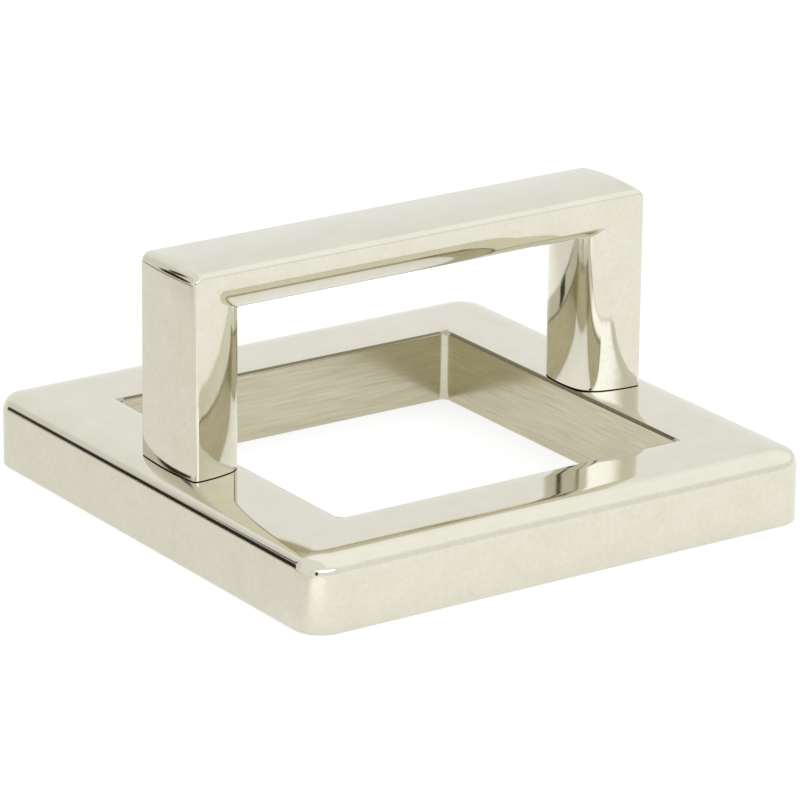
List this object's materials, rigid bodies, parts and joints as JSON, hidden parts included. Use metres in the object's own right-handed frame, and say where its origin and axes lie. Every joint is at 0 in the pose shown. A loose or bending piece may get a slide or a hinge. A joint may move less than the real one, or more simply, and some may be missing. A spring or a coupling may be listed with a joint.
{
  "type": "bar pull",
  "caption": "U-shaped bar pull of rounded section, standing across a flat square frame base and screwed on from behind.",
  "frame": {"origin": "middle of the base's underside, which bears on the drawer front", "axes": "+X along the bar, +Y across it, +Z away from the drawer front"},
  "size_m": [0.0636, 0.0636, 0.0309],
  "materials": {
    "base": "polished nickel plate on a casting, brushed inside the window",
    "handle": "polished nickel plate on a casting"
  },
  "bodies": {
    "root": {"base": "base", "handle": "handle"}
  },
  "joints": []
}
